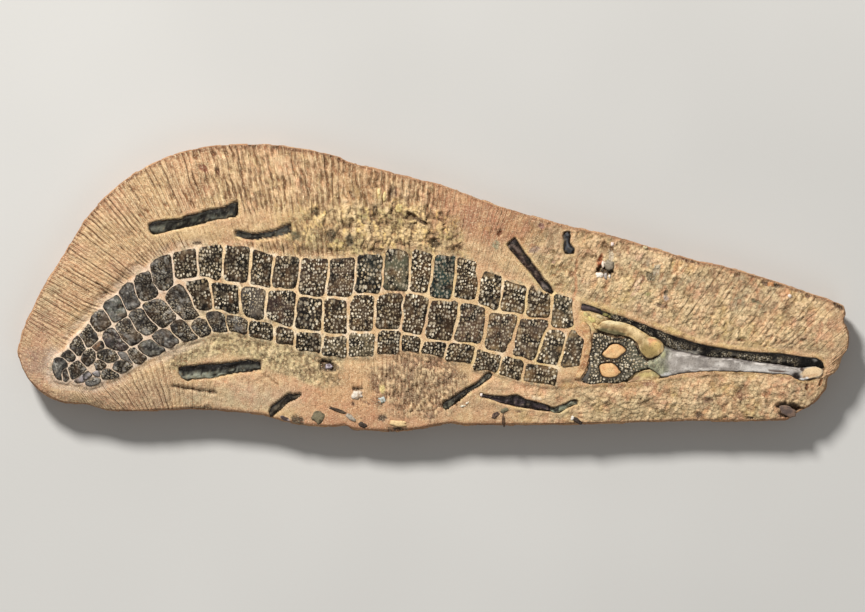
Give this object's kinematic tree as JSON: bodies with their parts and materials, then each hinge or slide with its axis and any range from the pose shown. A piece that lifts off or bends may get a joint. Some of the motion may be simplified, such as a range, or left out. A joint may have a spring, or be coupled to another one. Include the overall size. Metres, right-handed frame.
{
  "type": "fossil crocodile slab",
  "caption": "Flat irregular slab of sandy limestone with a flattened long-snouted fossil crocodile fixed in its chiselled face: rows of pitted back plates, skull, jaw and loose bones.",
  "frame": {"origin": "on the flat back, under the centre of the slab's box", "axes": "+X along the slab towards the snout, +Y towards the long straight edge, +Z out of the face that holds the fossil"},
  "size_m": [0.835, 0.2898, 0.0373],
  "materials": {
    "stone": "rough, chiselled sandy limestone, peach to ochre with grey-green patches",
    "armour": "dark brown-black mineralised bone with dense small pits filled with cream stone",
    "dark_bone": "smooth dark grey mineralised bone",
    "grey_bone": "smooth grey-lavender mineralised bone",
    "pale_bone": "smooth yellow-beige mineralised bone"
  },
  "bodies": {
    "root": {"stone_slab": "stone", "tail_armour": "armour", "scute_upper_01": "armour", "scute_upper_02": "armour", "scute_upper_03": "armour", "scute_upper_04": "armour", "scute_upper_05": "armour", "scute_upper_06": "armour", "scute_upper_07": "armour", "scute_upper_08": "armour", "scute_upper_09": "armour", "scute_upper_10": "armour", "scute_upper_11": "armour", "scute_upper_12": "armour", "scute_upper_13": "armour", "scute_upper_14": "armour", "scute_upper_15": "armour", "scute_upper_16": "armour", "scute_middle_01": "armour", "scute_middle_02": "armour", "scute_middle_03": "armour", "scute_middle_04": "armour", "scute_middle_05": "armour", "scute_middle_06": "armour", "scute_middle_07": "armour", "scute_middle_08": "armour", "scute_middle_09": "armour", "scute_middle_10": "armour", "scute_middle_11": "armour", "scute_middle_12": "armour", "scute_middle_13": "armour", "scute_middle_14": "armour", "scute_middle_15": "armour", "scute_lower_01": "armour", "scute_lower_02": "armour", "scute_lower_03": "armour", "scute_lower_04": "armour", "scute_lower_05": "armour", "scute_lower_06": "armour", "scute_lower_07": "armour", "scute_lower_08": "armour", "scute_lower_09": "armour", "scute_lower_10": "armour", "scute_lower_11": "armour", "scute_lower_12": "armour", "skull_roof": "armour", "cheek_bone": "pale_bone", "lower_cheek_bone": "pale_bone", "snout": "grey_bone", "jaw": "dark_bone", "long_bone_upper_left": "dark_bone", "rib_upper_left": "dark_bone", "long_bone_lower_left": "dark_bone", "splinter_lower_left": "dark_bone", "long_bone_upper_right": "dark_bone", "short_bone_upper_right": "dark_bone", "rod_bone_lower": "dark_bone", "long_bone_lower": "dark_bone", "thin_bone_lower": "grey_bone"}
  },
  "joints": []
}
